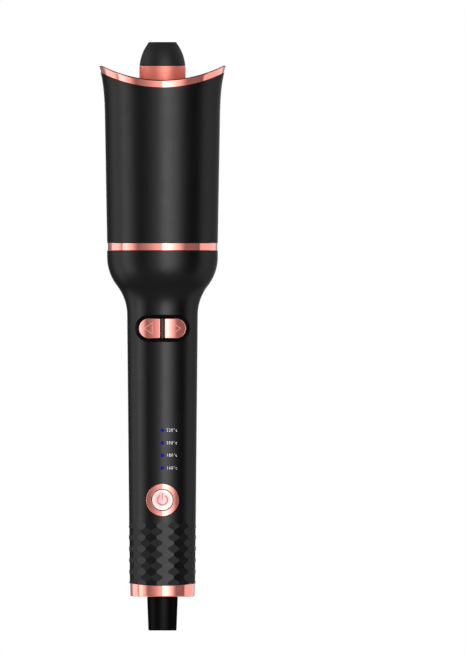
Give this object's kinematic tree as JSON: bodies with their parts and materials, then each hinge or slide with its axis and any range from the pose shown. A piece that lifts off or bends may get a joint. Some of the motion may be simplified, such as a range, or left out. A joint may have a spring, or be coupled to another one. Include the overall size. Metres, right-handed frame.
{
  "type": "automatic hair curler",
  "caption": "Hand-held automatic hair curler: a heated barrel turned by a motor inside a slotted, flared chamber on a round handle with push buttons.",
  "frame": {"origin": "middle of the cord sleeve's flat end, on the barrel's axis", "axes": "+Z along the handle and barrel from the cord end to the tip; -Y is the front with the buttons; +Y is the back with the slot"},
  "size_m": [0.07, 0.0638, 0.3237],
  "materials": {
    "satin_black": "satin moulded ABS",
    "gloss_black_frame": "glossy dark frame",
    "rose_gold": "polished rose-gold plating",
    "rose_ceramic": "satin rose ceramic coating",
    "blush_enamel": "pale pink enamel",
    "slate_grey": "slate grey rib",
    "blue_lens": "clear blue lamp lens",
    "moulded_black": "matte moulded plastic",
    "heat_proof_plastic": "glass-filled heat-proof plastic",
    "bright_steel": "bright steel",
    "contact_brass": "brass",
    "white_nylon": "natural nylon",
    "heater_aluminium": "milled aluminium",
    "white_alumina": "ceramic heating plate",
    "board_green": "solder-masked circuit board",
    "black_screw": "blackened steel screw"
  },
  "bodies": {
    "housing": {"head_shell": "satin_black", "chamber_liner": "rose_gold", "chamber_floor": "heat_proof_plastic", "accent_ring": "rose_gold", "handle_front": "satin_black", "handle_rear": "satin_black", "tail_ring": "rose_gold", "swivel_housing": "moulded_black", "direction_frame": "gloss_black_frame", "button_divider": "slate_grey", "power_bezel": "rose_gold", "control_board": "board_green", "lamp_160": "blue_lens", "lamp_180": "blue_lens", "lamp_200": "blue_lens", "lamp_220": "blue_lens", "screw_left": "black_screw", "screw_right": "black_screw", "screw_grip": "black_screw", "upper_bearing": "bright_steel", "lower_bearing": "bright_steel", "gear_plate": "white_nylon", "gear_motor": "bright_steel", "brush_block": "moulded_black", "switch_left": "moulded_black", "switch_right": "moulded_black", "switch_power": "moulded_black"},
    "rotor": {"barrel": "rose_ceramic", "barrel_cap": "moulded_black", "barrel_hub": "heat_proof_plastic", "heater_shoe_front": "heater_aluminium", "heater_shoe_rear": "heater_aluminium", "heater_plate": "white_alumina", "drive_shaft": "bright_steel", "barrel_gear": "white_nylon", "slip_ring": "contact_brass"},
    "pinion": {"motor_pinion": "contact_brass"},
    "left_button": {"button_left": "rose_gold", "plunger_left": "white_nylon"},
    "right_button": {"button_right": "rose_gold", "plunger_right": "white_nylon"},
    "power_key": {"power_button": "blush_enamel", "plunger_power": "white_nylon"},
    "sleeve": {"cord_sleeve": "moulded_black"}
  },
  "joints": [
    {"name": "barrel_spin", "type": "hinge", "parent": "housing", "child": "rotor", "pos_m": [0, 0, 0.222], "axis": [0, 0, 1], "continuous": true},
    {"name": "pinion_spin", "type": "hinge", "parent": "housing", "child": "pinion", "pos_m": [0, 0.014, 0.1988], "axis": [0, 0, 1], "continuous": true},
    {"name": "left_press", "type": "slide", "parent": "housing", "child": "left_button", "axis": [0, 1, 0], "range_m": [0, 0.0008], "stiffness_N_per_m": 1500, "springref_m": -0.0004},
    {"name": "right_press", "type": "slide", "parent": "housing", "child": "right_button", "axis": [0, 1, 0], "range_m": [0, 0.0008], "stiffness_N_per_m": 1500, "springref_m": -0.0004},
    {"name": "power_press", "type": "slide", "parent": "housing", "child": "power_key", "axis": [0, 1, 0], "range_m": [0, 0.0008], "stiffness_N_per_m": 1500, "springref_m": -0.0004},
    {"name": "sleeve_swivel", "type": "hinge", "parent": "housing", "child": "sleeve", "pos_m": [0, 0, 0.0183], "axis": [0, 0, 1], "continuous": true}
  ],
  "couplings": [
    {"joint": "pinion_spin", "follows": "barrel_spin", "ratio": -2.1818}
  ]
}
